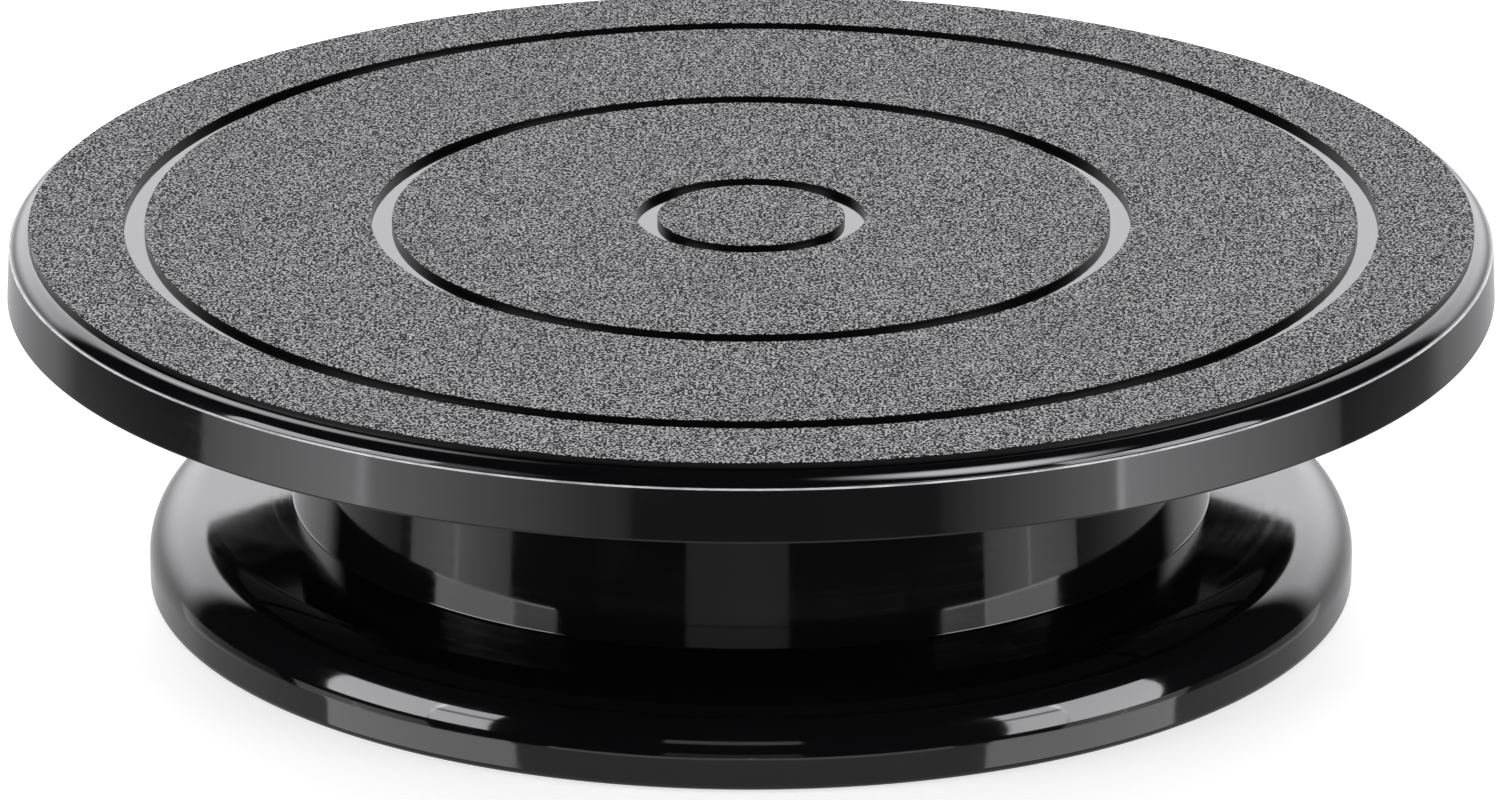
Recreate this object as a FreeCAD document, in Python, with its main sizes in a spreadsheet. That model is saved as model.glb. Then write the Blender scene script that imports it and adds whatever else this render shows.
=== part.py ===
import FreeCAD, Part
import math
import os
import Sketcher

# Sculpting turntable: a heavy round platter that spins on a wide drum-shaped pedestal.
#
# Frame: millimetres, +Z up along the spin axis, origin at the centre of the plane the feet rest on.
# The platter turns with everything bolted to it. The ball cage and its balls roll between two steel
# races at half the platter's speed. The base shell and what sits in it stand still.

# Each driving dimension: its name in the sheet, its value, and what it measures.
DIMENSIONS = (
    ("total_height", 72.0, "resting plane to the top of the anti-slip pads"),
    ("foot_protrusion", 0.6, "rubber feet below the base shell's bottom edge"),
    # platter moulding
    ("platter_radius", 140.0, "rim wall at its bottom edge"),
    ("rim_top_radius", 139.5, "rim wall at its top edge"),
    ("rim_height", 13.9, "top of the pads down to the rim's bottom edge"),
    ("ledge_drop", 3.65, "top of the pads down to the ledge above the rim wall"),
    ("shoulder_round", 3.2, "rounded shoulder outside the pads"),
    ("rim_edge_round", 0.3, "edge between ledge and rim wall"),
    ("rim_foot_round", 0.5, "edge at the bottom of the rim wall"),
    ("skirt_wall", 2.8, "wall of the rim"),
    ("skirt_fillet", 1.5, "inside corner of rim wall and deck"),
    ("platter_deck", 3.2, "thickness of the platter's disc"),
    ("hub_boss_radius", 20.0, "boss that takes the spindle flange"),
    ("hub_boss_drop", 3.1, "hub boss below the platter deck"),
    ("dust_ring_radius", 87.6, "inside of the ring that hangs round the neck"),
    ("dust_ring_wall", 1.8, "wall of the dust ring"),
    ("dust_ring_lift", 0.5, "dust ring's edge above the rim's bottom edge"),
    ("platter_rib_count", 12, "radial ribs under the platter"),
    ("platter_rib_wall", 2.0, "thickness of those ribs"),
    ("outer_rib_drop", 2.5, "outer ribs below the platter deck"),
    ("inner_rib_drop", 3.0, "inner ribs below the platter deck"),
    # anti-slip pads
    ("pad_proud", 1.2, "pads above the smooth rings between them"),
    ("pad_sunk", 0.4, "pads below the smooth rings, in their recesses"),
    ("pad_edge_round", 0.2, "top edges of the pads"),
    ("first_ring_radius", 19.6, "middle of the smallest smooth ring"),
    ("second_ring_radius", 69.5, "middle of the next smooth ring"),
    ("third_ring_radius", 115.95, "middle of the largest smooth ring"),
    ("ring_width", 3.9, "width of the smooth rings"),
    ("field_radius", 135.85, "outside of the outermost pad"),
    # base shell
    ("foot_radius", 114.1, "outside wall of the foot"),
    ("foot_edge_round", 1.5, "bottom edge of the foot"),
    ("foot_wall_height", 6.0, "shell's bottom edge to the start of the foot's shoulder"),
    ("foot_shoulder_round", 11.0, "large rounding from the foot's wall to its top"),
    ("neck_foot_radius", 86.6, "neck where it meets the foot"),
    ("neck_top_radius", 84.0, "neck at its top"),
    ("neck_fillet", 1.5, "inside corner of neck and foot"),
    ("neck_top_round", 1.0, "edge at the top of the neck"),
    ("base_height", 60.0, "resting plane to the top of the base deck"),
    ("shell_wall", 2.8, "wall of the base shell"),
    ("tower_radius", 11.5, "outside of the tower that holds the bush"),
    ("tower_bottom", 40.0, "resting plane to the tower's lower end"),
    ("well_radius", 20.5, "inside of the well round the spindle nut"),
    ("well_wall", 2.2, "wall of that well"),
    ("well_bottom", 5.0, "resting plane to the well's lower end"),
    ("base_rib_count", 6, "radial ribs in the base shell, and its feet"),
    ("base_rib_wall", 2.2, "thickness of those ribs"),
    ("base_rib_inner_foot", 9.0, "ribs' lower edge at the well"),
    ("base_rib_outer_foot", 4.0, "ribs' lower edge at the foot's wall"),
    ("foot_circle", 98.0, "circle the rubber feet stand on"),
    ("foot_boss_radius", 9.5, "bosses the rubber feet sit in"),
    ("foot_boss_top", 15.5, "resting plane to the top of those bosses"),
    # rubber feet
    ("rubber_foot_radius", 7.5, "one rubber foot"),
    ("rubber_foot_height", 2.6, "thickness of a rubber foot"),
    ("rubber_foot_round", 0.4, "its lower edge"),
    # ball race
    ("race_radius", 62.0, "circle the balls roll on"),
    ("race_half_width", 5.5, "half the width of a race ring"),
    ("race_thickness", 1.2, "thickness of a race ring"),
    ("race_lip_wall", 1.5, "lips that hold a race ring"),
    ("race_lip_height", 0.8, "height of those lips"),
    ("ball_radius", 2.5, "one steel ball"),
    ("ball_centre_height", 63.25, "resting plane to the balls' centres"),
    ("track_radius", 2.58, "hollow track in each race ring"),
    ("ball_count", 24, "balls in the cage"),
    ("cage_half_width", 4.5, "half the width of the ball cage"),
    ("cage_thickness", 2.0, "thickness of the ball cage"),
    ("cage_pocket_radius", 2.62, "pocket for one ball"),
    # spindle and what holds it
    ("spindle_radius", 5.0, "spindle in its bush"),
    ("spindle_shoulder", 37.15, "resting plane to the shoulder above the thread"),
    ("spindle_end", 29.5, "resting plane to the spindle's lower end"),
    ("thread_radius", 3.0, "threaded end of the spindle"),
    ("thread_chamfer", 0.4, "its chamfer"),
    ("flange_radius", 18.0, "spindle flange"),
    ("flange_thickness", 2.5, "its thickness"),
    ("spigot_radius", 6.0, "spigot above the flange"),
    ("spigot_height", 2.8, "its height"),
    ("screw_circle", 13.0, "circle of the flange screws"),
    ("screw_count", 3, "flange screws"),
    ("screw_radius", 1.7, "shank of a flange screw"),
    ("screw_head_radius", 3.4, "countersunk head of a flange screw"),
    ("screw_length", 7.0, "whole length of a flange screw"),
    ("screw_slot_radius", 1.9, "reach of the cross recess"),
    ("screw_slot_width", 0.9, "width of the cross recess"),
    ("screw_slot_depth", 1.1, "depth of the cross recess"),
    ("bush_bore_radius", 5.05, "running bore of the bush"),
    ("bush_radius", 8.0, "bush in its tower"),
    ("bush_length", 18.0, "bush below its flange"),
    ("bush_flange_radius", 12.0, "flange of the bush"),
    ("bush_flange_thickness", 1.2, "its thickness"),
    ("thrust_washer_bore", 5.3, "bore radius of the plastic thrust washer"),
    ("thrust_washer_radius", 11.3, "outside of the thrust washer"),
    ("thrust_washer_thickness", 1.4, "its thickness"),
    ("spring_bore_radius", 5.2, "bore of the disc spring"),
    ("spring_radius", 10.0, "outside of the disc spring"),
    ("spring_thickness", 0.7, "its thickness"),
    ("spring_cone", 0.65, "its rise from edge to bore"),
    ("steel_washer_radius", 10.5, "steel washer under the spring"),
    ("steel_washer_thickness", 1.6, "its thickness"),
    ("nut_half_flats", 5.0, "lock nut, centre to one flat"),
    ("nut_height", 5.2, "its height"),
    ("nut_chamfer", 0.6, "its corner chamfer"),
    # cover of the well
    ("cover_recess", 0.8, "step that the well cover sits in, radially"),
    ("cover_thickness", 1.8, "disc of the well cover"),
    ("cover_gap", 0.1, "fit of the well cover's disc"),
    ("cover_plug_wall", 1.6, "ring that plugs into the well"),
    ("cover_plug_height", 5.0, "its height above the disc"),
)

document = FreeCAD.newDocument("sculpting_turntable")
sheet = document.addObject("Spreadsheet::Sheet", "Dimensions")
sub_parts = []


class Size:
    """A length with its value and the sheet formula that it comes from."""

    def __init__(self, value, formula):
        self.value = float(value)
        self.formula = formula

    def __add__(self, other):
        other = size(other)
        return Size(self.value + other.value, f"({self.formula} + {other.formula})")

    def __sub__(self, other):
        other = size(other)
        return Size(self.value - other.value, f"({self.formula} - {other.formula})")

    def __mul__(self, other):
        other = size(other)
        return Size(self.value * other.value, f"({self.formula} * {other.formula})")

    def __truediv__(self, other):
        other = size(other)
        return Size(self.value / other.value, f"({self.formula} / {other.formula})")


def size(thing):
    """A plain number as a Size, and a Size as it is."""
    return thing if isinstance(thing, Size) else Size(thing, repr(float(thing)))


def root_of_squares(long_side, short_side):
    """The other short side of a right triangle."""
    value = math.sqrt(long_side.value**2 - short_side.value**2)
    return Size(value, f"sqrt({long_side.formula} ^ 2 - {short_side.formula} ^ 2)")


def fill_sheet():
    """Writes the driving dimensions into the sheet, and returns them by name."""
    found = {}
    for row, (name, value, meaning) in enumerate(DIMENSIONS, start=1):
        sheet.set(f"A{row}", name)
        sheet.set(f"B{row}", str(value))
        sheet.setAlias(f"B{row}", name)
        sheet.set(f"C{row}", meaning)
        found[name] = Size(value, f"Dimensions.{name}")
    document.recompute()
    return found


dim = fill_sheet()

# Levels above the resting plane that several pieces share.
PAD_TOP = dim["total_height"]
SMOOTH_FACE = PAD_TOP - dim["pad_proud"]
PAD_BOTTOM = SMOOTH_FACE - dim["pad_sunk"]
DECK_UNDERSIDE = SMOOTH_FACE - dim["platter_deck"]
RIM_BOTTOM = PAD_TOP - dim["rim_height"]
SHELL_BOTTOM = dim["foot_protrusion"]
BASE_TOP = dim["base_height"]
BASE_DECK_UNDERSIDE = BASE_TOP - dim["shell_wall"]
LOWER_RACE_TOP = BASE_TOP + dim["race_thickness"]
UPPER_RACE_BOTTOM = dim["ball_centre_height"] * 2 - LOWER_RACE_TOP
UPPER_RACE_TOP = UPPER_RACE_BOTTOM + dim["race_thickness"]
FLANGE_TOP = DECK_UNDERSIDE - dim["hub_boss_drop"]
FLANGE_BOTTOM = FLANGE_TOP - dim["flange_thickness"]
RACE_INNER = dim["race_radius"] - dim["race_half_width"]
RACE_OUTER = dim["race_radius"] + dim["race_half_width"]
BURIED = size(0.5)  # how far a rib or boss runs into the wall that it grows from


def bind(thing, path, value):
    """Ties one property of an object to the sheet."""
    thing.setExpression(path, size(value).formula)


def body_plane(body, role):
    """One of the body's own origin planes or axes."""
    return next(item for item in body.Origin.OriginFeatures if item.Role == role)


def new_body(name, groups_solids=False):
    """An empty body whose label is the name of its node."""
    body = document.addObject("PartDesign::Body", name)
    body.Label = name
    body.AllowCompound = groups_solids
    sub_parts.append(body)
    return body


def attach(body, sketch, role, across=None, up=None):
    """Puts a sketch on an origin plane, moved across in the plane or up off it."""
    sketch.AttachmentSupport = [(body_plane(body, role), "")]
    sketch.MapMode = "FlatFace"
    if across is not None:
        bind(sketch, "AttachmentOffset.Base.x", across)
    if up is not None:
        bind(sketch, "AttachmentOffset.Base.z", up)


def arc_between(start, end, radius, turn):
    """The arc from start to end that turns left (1) or right (-1)."""
    chord = end - start
    half = chord.Length / 2
    to_left = FreeCAD.Vector(-chord.y, chord.x, 0).normalize()
    centre = start + chord * 0.5 + to_left * (turn * math.sqrt(max(radius**2 - half**2, 0)))
    first, last = (start, end) if turn > 0 else (end, start)
    first_angle = math.atan2(first.y - centre.y, first.x - centre.x)
    last_angle = math.atan2(last.y - centre.y, last.x - centre.x)
    circle = Part.Circle(centre, FreeCAD.Vector(0, 0, 1), radius)
    return Part.ArcOfCircle(circle, first_angle, last_angle)


def pin_point(sketch, edge, end, label, place):
    """Holds one end of an edge at a place given by two sizes."""
    for kind, axis, value in (("DistanceX", -2, place[0]), ("DistanceY", -1, place[1])):
        value = size(value)
        if value.value == 0:
            sketch.addConstraint(Sketcher.Constraint("PointOnObject", edge, end, axis))
            continue
        index = sketch.addConstraint(Sketcher.Constraint(kind, -1, 1, edge, end, value.value))
        sketch.renameConstraint(index, f"{label}_{kind[-1]}")
        bind(sketch, f"Constraints.{label}_{kind[-1]}", value)


def outline(body, name, corners, role="XZ_Plane", across=None, up=None):
    """A closed sketch through its corners.

    A corner is (across, up), or (across, up, radius, turn) where an arc leads to it from the corner
    before: turn is 1 for an arc that turns left on the way and -1 for one that turns right.
    """
    sketch = body.newObject("Sketcher::SketchObject", name)
    attach(body, sketch, role, across, up)
    points = [FreeCAD.Vector(size(c[0]).value, size(c[1]).value, 0) for c in corners]
    ends = []
    for index, corner in enumerate(corners):
        before, here = points[index - 1], points[index]
        if len(corner) == 2:
            sketch.addGeometry(Part.LineSegment(before, here), False)
            ends.append((1, 2))
        else:
            radius, turn = size(corner[2]), corner[3]
            sketch.addGeometry(arc_between(before, here, radius.value, turn), False)
            ends.append((1, 2) if turn > 0 else (2, 1))
    for index, corner in enumerate(corners):
        following = (index + 1) % len(corners)
        join = Sketcher.Constraint("Coincident", index, ends[index][1], following, ends[following][0])
        sketch.addConstraint(join)
        pin_point(sketch, index, ends[index][1], f"corner{index}", corner)
        if len(corner) > 2:
            radius = size(corner[2])
            number = sketch.addConstraint(Sketcher.Constraint("Radius", index, radius.value))
            sketch.renameConstraint(number, f"round{index}")
            bind(sketch, f"Constraints.round{index}", radius)
    return sketch


def revolve(body, name, corners, across=None):
    """Adds the solid that an outline sweeps about the vertical axis of its sketch."""
    feature = body.newObject("PartDesign::Revolution", name)
    profile = outline(body, f"{name}_outline", corners, across=across)
    feature.Profile = profile
    feature.ReferenceAxis = (profile, ["V_Axis"])
    feature.Angle = 360
    body.Tip = feature
    return feature


def groove(body, name, corners, across=None):
    """Cuts away what an outline sweeps about the vertical axis of its sketch."""
    before = finished_volume(body)
    feature = body.newObject("PartDesign::Groove", name)
    profile = outline(body, f"{name}_outline", corners, across=across)
    feature.Profile = profile
    feature.ReferenceAxis = (profile, ["V_Axis"])
    feature.Angle = 360
    body.Tip = feature
    confirm_cut(body, name, before)
    return feature


def rib(body, name, corners, wall):
    """Adds a flat rib in the XZ plane, half its thickness to each side."""
    feature = body.newObject("PartDesign::Pad", name)
    feature.Profile = outline(body, f"{name}_outline", corners)
    feature.SideType = "Symmetric"
    bind(feature, "Length", wall)
    body.Tip = feature
    return feature


def repeat_around(body, feature, name, count):
    """Repeats a feature evenly about the spin axis."""
    pattern = body.newObject("PartDesign::PolarPattern", name)
    pattern.Originals = [feature]
    pattern.Axis = (body_plane(body, "Z_Axis"), [""])
    pattern.Angle = 360
    bind(pattern, "Occurrences", count)
    body.Tip = pattern
    return pattern


def finished_volume(body):
    """The body's volume so far."""
    document.recompute()
    return body.Shape.Volume


def confirm_cut(body, name, before):
    """Stops if a cutting feature left the body as large as it was."""
    if finished_volume(body) > before - 0.1:
        raise RuntimeError(f"{body.Label}: {name} cuts nothing")


def rectangle(inner, outer, bottom, top):
    """The corners of a plain rectangle, anticlockwise."""
    return [(inner, bottom), (outer, bottom), (outer, top), (inner, top)]


# ---------------------------------------------------------------- platter and its pads


def pad_edges():
    """Each pad's name, inner radius and outer radius."""
    half = dim["ring_width"] / 2
    return (
        ("centre_pad", size(0), dim["first_ring_radius"] - half),
        ("inner_ring_pad", dim["first_ring_radius"] + half, dim["second_ring_radius"] - half),
        ("middle_ring_pad", dim["second_ring_radius"] + half, dim["third_ring_radius"] - half),
        ("outer_ring_pad", dim["third_ring_radius"] + half, dim["field_radius"]),
    )


def make_platter():
    """One gloss moulding: disc, rounded shoulder, rim wall, hub boss, race seat, dust ring and ribs."""
    body = new_body("platter")
    ledge = PAD_TOP - dim["ledge_drop"]
    shoulder = dim["shoulder_round"]
    shoulder_end = dim["field_radius"] + root_of_squares(shoulder, shoulder - (SMOOTH_FACE - ledge))
    edge = dim["rim_edge_round"]
    foot = dim["rim_foot_round"]
    fillet = dim["skirt_fillet"]
    skirt_inside = dim["platter_radius"] - dim["skirt_wall"]
    revolve(
        body,
        "disc_and_rim",
        [
            (0, DECK_UNDERSIDE),
            (skirt_inside - fillet, DECK_UNDERSIDE),
            (skirt_inside, DECK_UNDERSIDE - fillet, fillet, -1),
            (skirt_inside, RIM_BOTTOM),
            (dim["platter_radius"] - foot, RIM_BOTTOM),
            (dim["platter_radius"], RIM_BOTTOM + foot, foot, 1),
            (dim["rim_top_radius"], ledge - edge),
            (dim["rim_top_radius"] - edge, ledge, edge, 1),
            (shoulder_end, ledge),
            (dim["field_radius"], SMOOTH_FACE, shoulder, 1),
            (0, SMOOTH_FACE),
        ],
    )
    revolve(
        body,
        "hub_boss",
        rectangle(size(0), dim["hub_boss_radius"], FLANGE_TOP, DECK_UNDERSIDE + BURIED),
    )
    lip = dim["race_lip_wall"]
    lip_bottom = UPPER_RACE_TOP - dim["race_lip_height"]
    revolve(
        body,
        "race_seat",
        [
            (RACE_INNER - lip, lip_bottom),
            (RACE_INNER, lip_bottom),
            (RACE_INNER, UPPER_RACE_TOP),
            (RACE_OUTER, UPPER_RACE_TOP),
            (RACE_OUTER, lip_bottom),
            (RACE_OUTER + lip, lip_bottom),
            (RACE_OUTER + lip, DECK_UNDERSIDE + BURIED),
            (RACE_INNER - lip, DECK_UNDERSIDE + BURIED),
        ],
    )
    dust_outer = dim["dust_ring_radius"] + dim["dust_ring_wall"]
    dust_bottom = RIM_BOTTOM + dim["dust_ring_lift"]
    revolve(
        body,
        "dust_ring",
        rectangle(dim["dust_ring_radius"], dust_outer, dust_bottom, DECK_UNDERSIDE + BURIED),
    )
    outer_rib = rib(
        body,
        "outer_rib",
        rectangle(
            dust_outer - BURIED,
            skirt_inside + BURIED,
            DECK_UNDERSIDE - dim["outer_rib_drop"],
            DECK_UNDERSIDE + BURIED,
        ),
        dim["platter_rib_wall"],
    )
    repeat_around(body, outer_rib, "outer_ribs", dim["platter_rib_count"])
    inner_rib = rib(
        body,
        "inner_rib",
        rectangle(
            dim["hub_boss_radius"] - BURIED,
            RACE_INNER - lip + BURIED,
            DECK_UNDERSIDE - dim["inner_rib_drop"],
            DECK_UNDERSIDE + BURIED,
        ),
        dim["platter_rib_wall"],
    )
    repeat_around(body, inner_rib, "inner_ribs", dim["platter_rib_count"])
    for name, inner, outer in pad_edges():
        groove(body, f"{name}_recess", rectangle(inner, outer, PAD_BOTTOM, SMOOTH_FACE + BURIED))
    groove(
        body,
        "spigot_socket",
        rectangle(size(0), dim["spigot_radius"], FLANGE_TOP - BURIED, FLANGE_TOP + dim["spigot_height"]),
    )
    pilot_hole = groove(
        body,
        "pilot_hole",
        rectangle(size(0), dim["screw_radius"], FLANGE_TOP - BURIED, FLANGE_BOTTOM + dim["screw_length"]),
        across=dim["screw_circle"],
    )
    repeat_around(body, pilot_hole, "pilot_holes", dim["screw_count"])


def make_pad(name, inner, outer):
    """An anti-slip pad: a disc or a flat ring with slightly rounded top edges."""
    body = new_body(name)
    edge = dim["pad_edge_round"]
    corners = [
        (inner, PAD_BOTTOM),
        (outer, PAD_BOTTOM),
        (outer, PAD_TOP - edge),
        (outer - edge, PAD_TOP, edge, 1),
    ]
    if inner.value == 0:
        corners.append((inner, PAD_TOP))
    else:
        corners.append((inner + edge, PAD_TOP))
        corners.append((inner, PAD_TOP - edge, edge, 1))
    revolve(body, "pad", corners)


# ---------------------------------------------------------------- base shell and its feet


def make_base_shell():
    """One gloss moulding: foot, neck, deck, bush tower, nut well, ribs and foot bosses."""
    body = new_body("base_shell")
    wall = dim["shell_wall"]
    foot = dim["foot_radius"]
    shoulder = dim["foot_shoulder_round"]
    shoulder_start = SHELL_BOTTOM + dim["foot_wall_height"]
    foot_top = shoulder_start + shoulder
    neck_round = dim["neck_top_round"]
    revolve(
        body,
        "foot_neck_and_deck",
        [
            (foot - wall, SHELL_BOTTOM),
            (foot - dim["foot_edge_round"], SHELL_BOTTOM),
            (foot, SHELL_BOTTOM + dim["foot_edge_round"], dim["foot_edge_round"], 1),
            (foot, shoulder_start),
            (foot - shoulder, foot_top, shoulder, 1),
            (dim["neck_foot_radius"] + dim["neck_fillet"], foot_top),
            (dim["neck_foot_radius"], foot_top + dim["neck_fillet"], dim["neck_fillet"], -1),
            (dim["neck_top_radius"], BASE_TOP - neck_round),
            (dim["neck_top_radius"] - neck_round, BASE_TOP, neck_round, 1),
            (dim["bush_radius"], BASE_TOP),
            (dim["bush_radius"], dim["tower_bottom"]),
            (dim["tower_radius"], dim["tower_bottom"]),
            (dim["tower_radius"], BASE_DECK_UNDERSIDE),
            (dim["neck_top_radius"] - wall, BASE_DECK_UNDERSIDE),
            (dim["neck_foot_radius"] - wall, foot_top - wall),
            (foot - shoulder, foot_top - wall),
            (foot - wall, shoulder_start, shoulder - wall, -1),
        ],
    )
    lip = dim["race_lip_wall"]
    for name, inner in (("inner_race_lip", RACE_INNER - lip), ("outer_race_lip", RACE_OUTER)):
        revolve(
            body,
            name,
            rectangle(inner, inner + lip, BASE_TOP - BURIED, BASE_TOP + dim["race_lip_height"]),
        )
    well_outside = dim["well_radius"] + dim["well_wall"]
    step = dim["cover_recess"]
    revolve(
        body,
        "nut_well",
        [
            (dim["well_radius"] + step, dim["well_bottom"]),
            (well_outside, dim["well_bottom"]),
            (well_outside, BASE_DECK_UNDERSIDE + BURIED),
            (dim["well_radius"], BASE_DECK_UNDERSIDE + BURIED),
            (dim["well_radius"], dim["well_bottom"] + dim["cover_thickness"]),
            (dim["well_radius"] + step, dim["well_bottom"] + dim["cover_thickness"]),
        ],
    )
    middle = wall / 2
    radial_rib = rib(
        body,
        "radial_rib",
        [
            (well_outside - BURIED, dim["base_rib_inner_foot"]),
            (foot - middle, dim["base_rib_outer_foot"]),
            (foot - middle, shoulder_start),
            (foot - shoulder, foot_top - middle, shoulder - middle, 1),
            (dim["neck_foot_radius"] - middle, foot_top - middle),
            (dim["neck_top_radius"] - middle, BASE_TOP - middle),
            (well_outside - BURIED, BASE_TOP - middle),
        ],
        dim["base_rib_wall"],
    )
    repeat_around(body, radial_rib, "radial_ribs", dim["base_rib_count"])
    boss = revolve(
        body,
        "foot_boss",
        rectangle(size(0), dim["foot_boss_radius"], SHELL_BOTTOM, dim["foot_boss_top"]),
        across=dim["foot_circle"],
    )
    repeat_around(body, boss, "foot_bosses", dim["base_rib_count"])
    recess = groove(
        body,
        "foot_recess",
        rectangle(size(0), dim["rubber_foot_radius"], SHELL_BOTTOM - BURIED, dim["rubber_foot_height"]),
        across=dim["foot_circle"],
    )
    repeat_around(body, recess, "foot_recesses", dim["base_rib_count"])


def make_rubber_foot(number):
    """A rubber disc, glued into a boss and standing a little below the shell."""
    body = new_body(f"rubber_foot_{number}")
    edge = dim["rubber_foot_round"]
    radius = dim["rubber_foot_radius"]
    top = dim["rubber_foot_height"]
    corners = [(0, 0), (radius - edge, 0), (radius, edge, edge, 1), (radius, top), (0, top)]
    revolve(body, "disc", corners)
    angle = f"(360 / Dimensions.base_rib_count * {number - 1}) * 1 deg"
    body.setExpression("Placement.Base.x", f"Dimensions.foot_circle * cos({angle})")
    body.setExpression("Placement.Base.y", f"Dimensions.foot_circle * sin({angle})")


def make_hub_cover():
    """The cap that closes the nut well from below: a disc with a ring that plugs into the well."""
    body = new_body("hub_cover")
    disc_radius = dim["well_radius"] + dim["cover_recess"] - dim["cover_gap"]
    plug_outside = dim["well_radius"] - dim["cover_gap"]
    disc_top = dim["well_bottom"] + dim["cover_thickness"]
    revolve(
        body,
        "cap",
        [
            (0, dim["well_bottom"]),
            (disc_radius, dim["well_bottom"]),
            (disc_radius, disc_top),
            (plug_outside, disc_top),
            (plug_outside, disc_top + dim["cover_plug_height"]),
            (plug_outside - dim["cover_plug_wall"], disc_top + dim["cover_plug_height"]),
            (plug_outside - dim["cover_plug_wall"], disc_top),
            (0, disc_top),
        ],
    )


# ---------------------------------------------------------------- ball race


def make_race(name, back, face, side):
    """A steel ring with a hollow track; side is 1 where its track faces up and -1 where it faces down."""
    body = new_body(name)
    across = root_of_squares(dim["track_radius"], (dim["ball_centre_height"] - face) * side)
    track_inner = dim["race_radius"] - across
    track_outer = dim["race_radius"] + across
    corners = [
        (RACE_INNER, back),
        (RACE_OUTER, back),
        (RACE_OUTER, face),
        (track_outer, face),
        (track_inner, face, dim["track_radius"], -side),
        (RACE_INNER, face),
    ]
    revolve(body, "ring", corners)


def make_ball_cage():
    """A flat plastic ring with a pocket for each ball."""
    body = new_body("ball_cage")
    bottom = dim["ball_centre_height"] - dim["cage_thickness"] / 2
    top = dim["ball_centre_height"] + dim["cage_thickness"] / 2
    inner = dim["race_radius"] - dim["cage_half_width"]
    outer = dim["race_radius"] + dim["cage_half_width"]
    revolve(body, "ring", rectangle(inner, outer, bottom, top))
    pocket = groove(
        body,
        "pocket",
        rectangle(size(0), dim["cage_pocket_radius"], bottom - BURIED, top + BURIED),
        across=dim["race_radius"],
    )
    repeat_around(body, pocket, "pockets", dim["ball_count"])


def make_race_balls():
    """The steel balls, evenly spaced on the race circle, as one group of spheres."""
    balls = []
    count = int(dim["ball_count"].value)
    for number in range(count):
        ball = document.addObject("Part::Sphere", f"ball_{number + 1}")
        bind(ball, "Radius", dim["ball_radius"])
        angle = f"(360 / Dimensions.ball_count * {number}) * 1 deg"
        ball.setExpression("Placement.Base.x", f"Dimensions.race_radius * cos({angle})")
        ball.setExpression("Placement.Base.y", f"Dimensions.race_radius * sin({angle})")
        bind(ball, "Placement.Base.z", dim["ball_centre_height"])
        balls.append(ball)
    group = document.addObject("Part::Compound", "race_balls")
    group.Label = "race_balls"
    group.Links = balls
    sub_parts.append(group)


# ---------------------------------------------------------------- spindle and what holds it


def make_spindle():
    """A turned steel spindle: spigot, flange, journal, shoulder and threaded end."""
    body = new_body("spindle")
    thread = dim["thread_radius"]
    chamfer = dim["thread_chamfer"]
    revolve(
        body,
        "turning",
        [
            (0, dim["spindle_end"]),
            (thread - chamfer, dim["spindle_end"]),
            (thread, dim["spindle_end"] + chamfer),
            (thread, dim["spindle_shoulder"]),
            (dim["spindle_radius"], dim["spindle_shoulder"]),
            (dim["spindle_radius"], FLANGE_BOTTOM),
            (dim["flange_radius"], FLANGE_BOTTOM),
            (dim["flange_radius"], FLANGE_TOP),
            (dim["spigot_radius"], FLANGE_TOP),
            (dim["spigot_radius"], FLANGE_TOP + dim["spigot_height"]),
            (0, FLANGE_TOP + dim["spigot_height"]),
        ],
    )
    hole = groove(body, "screw_hole", screw_outline(FLANGE_TOP + BURIED), across=dim["screw_circle"])
    repeat_around(body, hole, "screw_holes", dim["screw_count"])


def screw_outline(top):
    """A countersunk head and shank, up to the given level."""
    head_height = dim["screw_head_radius"] - dim["screw_radius"]
    return [
        (0, FLANGE_BOTTOM),
        (dim["screw_head_radius"], FLANGE_BOTTOM),
        (dim["screw_radius"], FLANGE_BOTTOM + head_height),
        (dim["screw_radius"], top),
        (0, top),
    ]


def make_spindle_screws():
    """Three countersunk screws with cross recesses, from below through the flange into the boss."""
    body = new_body("spindle_screws", groups_solids=True)
    top = FLANGE_BOTTOM + dim["screw_length"]
    screw = revolve(body, "screw", screw_outline(top), across=dim["screw_circle"])
    before = finished_volume(body)
    reach = dim["screw_slot_radius"]
    half = dim["screw_slot_width"] / 2
    centre = dim["screw_circle"]
    slot = body.newObject("PartDesign::Pocket", "cross_recess")
    slot.Profile = outline(
        body,
        "cross_recess_outline",
        [
            (centre - reach, size(0) - half),
            (centre - half, size(0) - half),
            (centre - half, size(0) - reach),
            (centre + half, size(0) - reach),
            (centre + half, size(0) - half),
            (centre + reach, size(0) - half),
            (centre + reach, half),
            (centre + half, half),
            (centre + half, reach),
            (centre - half, reach),
            (centre - half, half),
            (centre - reach, half),
        ],
        role="XY_Plane",
        up=FLANGE_BOTTOM,
    )
    slot.Reversed = True
    bind(slot, "Length", dim["screw_slot_depth"])
    body.Tip = slot
    confirm_cut(body, "cross_recess", before)
    pattern = repeat_around(body, screw, "screws", dim["screw_count"])
    pattern.Originals = [screw, slot]


def make_spindle_bush():
    """A flanged plain bush, pressed into the tower from above."""
    body = new_body("spindle_bush")
    revolve(
        body,
        "bush",
        [
            (dim["bush_bore_radius"], BASE_TOP - dim["bush_length"]),
            (dim["bush_radius"], BASE_TOP - dim["bush_length"]),
            (dim["bush_radius"], BASE_TOP),
            (dim["bush_flange_radius"], BASE_TOP),
            (dim["bush_flange_radius"], BASE_TOP + dim["bush_flange_thickness"]),
            (dim["bush_bore_radius"], BASE_TOP + dim["bush_flange_thickness"]),
        ],
    )


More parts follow.
